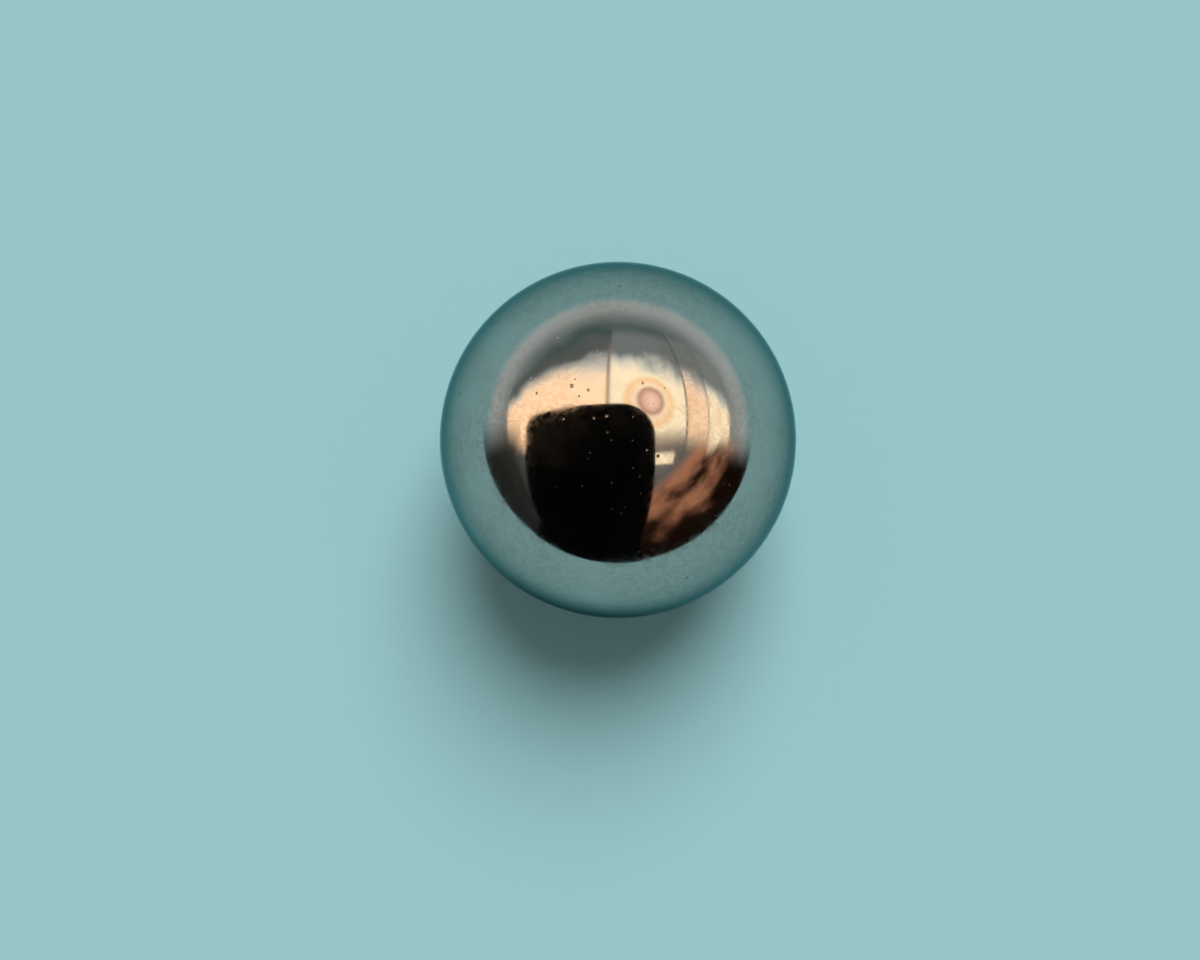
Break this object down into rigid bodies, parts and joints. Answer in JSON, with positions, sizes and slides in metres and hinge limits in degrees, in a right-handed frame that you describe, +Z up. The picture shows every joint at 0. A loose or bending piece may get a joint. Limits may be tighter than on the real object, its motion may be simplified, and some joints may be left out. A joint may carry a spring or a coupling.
{
  "type": "steel ball",
  "caption": "Solid steel ball with a mirror-polished surface, a true sphere with no flat, bore or seam, as used loose in ball bearings.",
  "frame": {"origin": "centre of the ball", "axes": "+Z up; the ball is the same about every axis through its centre"},
  "size_m": [0.0096, 0.0096, 0.0096],
  "materials": {
    "polished_steel": "polished"
  },
  "bodies": {
    "root": {"ball": "polished_steel"}
  },
  "joints": []
}
